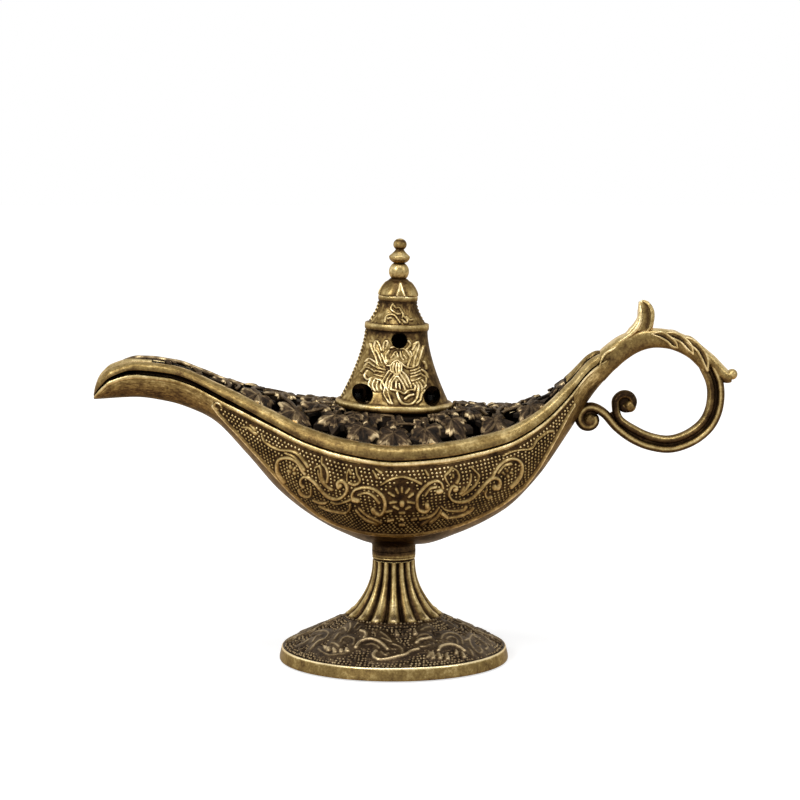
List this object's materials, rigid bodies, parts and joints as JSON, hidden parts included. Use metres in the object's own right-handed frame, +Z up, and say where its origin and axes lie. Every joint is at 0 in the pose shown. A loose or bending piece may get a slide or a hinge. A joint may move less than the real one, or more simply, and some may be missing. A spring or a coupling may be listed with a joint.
{
  "type": "genie lamp incense burner",
  "caption": "Cast brass genie lamp for incense cones: boat-shaped bowl with spout and ring handle on a fluted foot, under a lift-off openwork leaf lid with a vented chimney.",
  "frame": {"origin": "under the middle of the lamp's outline, on the table", "axes": "+Z up, -X along the spout, +X towards the handle"},
  "size_m": [0.1646, 0.0592, 0.1085],
  "materials": {
    "antique_brass": "antiqued, rubbed bright on the high spots",
    "dark_brass": "dark patina",
    "steel": "plated"
  },
  "bodies": {
    "base": {"foot": "antique_brass", "foot_screw": "steel", "foot_washer": "steel", "neck_collar": "antique_brass", "bowl": "antique_brass", "handle": "antique_brass"},
    "lid": {"lid": "dark_brass", "chimney": "antique_brass", "chimney_screw_1": "steel", "chimney_screw_2": "steel", "finial": "antique_brass", "finial_nut": "steel"},
    "dish": {"cone_dish": "dark_brass"}
  },
  "joints": [
    {"name": "lid_lift", "type": "slide", "parent": "base", "child": "lid", "axis": [0, 0, 1], "range_m": [0, 0.06]},
    {"name": "dish_lift", "type": "slide", "parent": "base", "child": "dish", "axis": [0, 0, 1], "range_m": [0, 0.016]}
  ]
}
